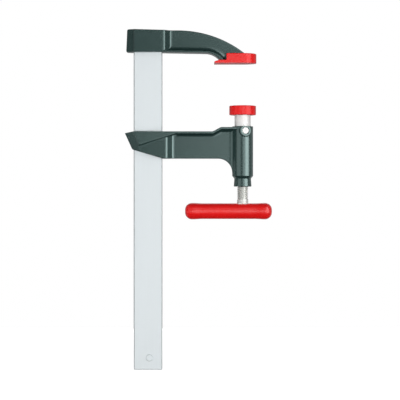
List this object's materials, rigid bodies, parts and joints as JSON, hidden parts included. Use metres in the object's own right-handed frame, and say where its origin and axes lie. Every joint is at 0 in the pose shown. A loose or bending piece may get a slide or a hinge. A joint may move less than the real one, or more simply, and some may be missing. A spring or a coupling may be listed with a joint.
{
  "type": "bar clamp",
  "caption": "Bar clamp: a flat rail carries a fixed arm and a sliding arm whose screw, turned by a T-handle, pushes a swivelling pad towards the fixed pad.",
  "frame": {"origin": "the point where the spindle axis meets the fixed pad's clamping face", "axes": "+Z along the rail and the spindle towards the fixed arm, +X from the rail towards the jaws' tips, +Y away from the side that the picture shows"},
  "size_m": [0.1282, 0.024, 0.2966],
  "materials": {
    "casting_paint": "dark green-grey stove paint over a casting, satin to gloss",
    "zinc_plated_steel": "drawn bar, pale satin zinc plate",
    "bright_steel": "turned, bright",
    "red_plastic": "moulded red plastic, satin",
    "inner_steel": "plain steel, hidden in use",
    "bush_bronze": "plain bronze bush, hidden in use"
  },
  "bodies": {
    "rail_frame": {"rail": "zinc_plated_steel", "end_stop_pin": "bright_steel", "fixed_arm": "casting_paint", "fixed_arm_pins": "inner_steel", "fixed_pad": "red_plastic"},
    "slider": {"sliding_arm": "casting_paint", "rear_grip_pin": "inner_steel", "front_grip_pin": "inner_steel", "guide_pin": "bright_steel", "spindle_nut": "inner_steel"},
    "tube": {"push_tube": "bright_steel", "journal_bush": "bush_bronze", "ball_stud": "inner_steel"},
    "screw": {"spindle": "bright_steel", "retaining_ring": "inner_steel", "thrust_ball": "inner_steel", "handle_grip": "red_plastic", "handle_pin": "inner_steel"},
    "swivel_ring": {"plate_snap_ring": "inner_steel"},
    "pressure_pad": {"pressure_plate": "inner_steel", "pressure_cap": "red_plastic"}
  },
  "joints": [
    {"name": "slider_slide", "type": "slide", "parent": "rail_frame", "child": "slider", "axis": [0, 0, 1], "range_m": [-0.1736, 0.0248]},
    {"name": "spindle_feed", "type": "slide", "parent": "slider", "child": "tube", "axis": [0, 0, 1], "range_m": [0, 0.0105]},
    {"name": "spindle_turn", "type": "hinge", "parent": "tube", "child": "screw", "pos_m": [0, 0, -0.1], "axis": [0, 0, 1], "range_deg": [0, 2160]},
    {"name": "pad_tilt_x", "type": "hinge", "parent": "tube", "child": "swivel_ring", "pos_m": [0, 0, -0.0417], "axis": [1, 0, 0], "range_deg": [-4, 4]},
    {"name": "pad_tilt_y", "type": "hinge", "parent": "swivel_ring", "child": "pressure_pad", "pos_m": [0, 0, -0.0417], "axis": [0, 1, 0], "range_deg": [-4, 4]}
  ],
  "couplings": [
    {"joint": "spindle_feed", "follows": "spindle_turn", "m_per_rad": 0.00027852}
  ]
}
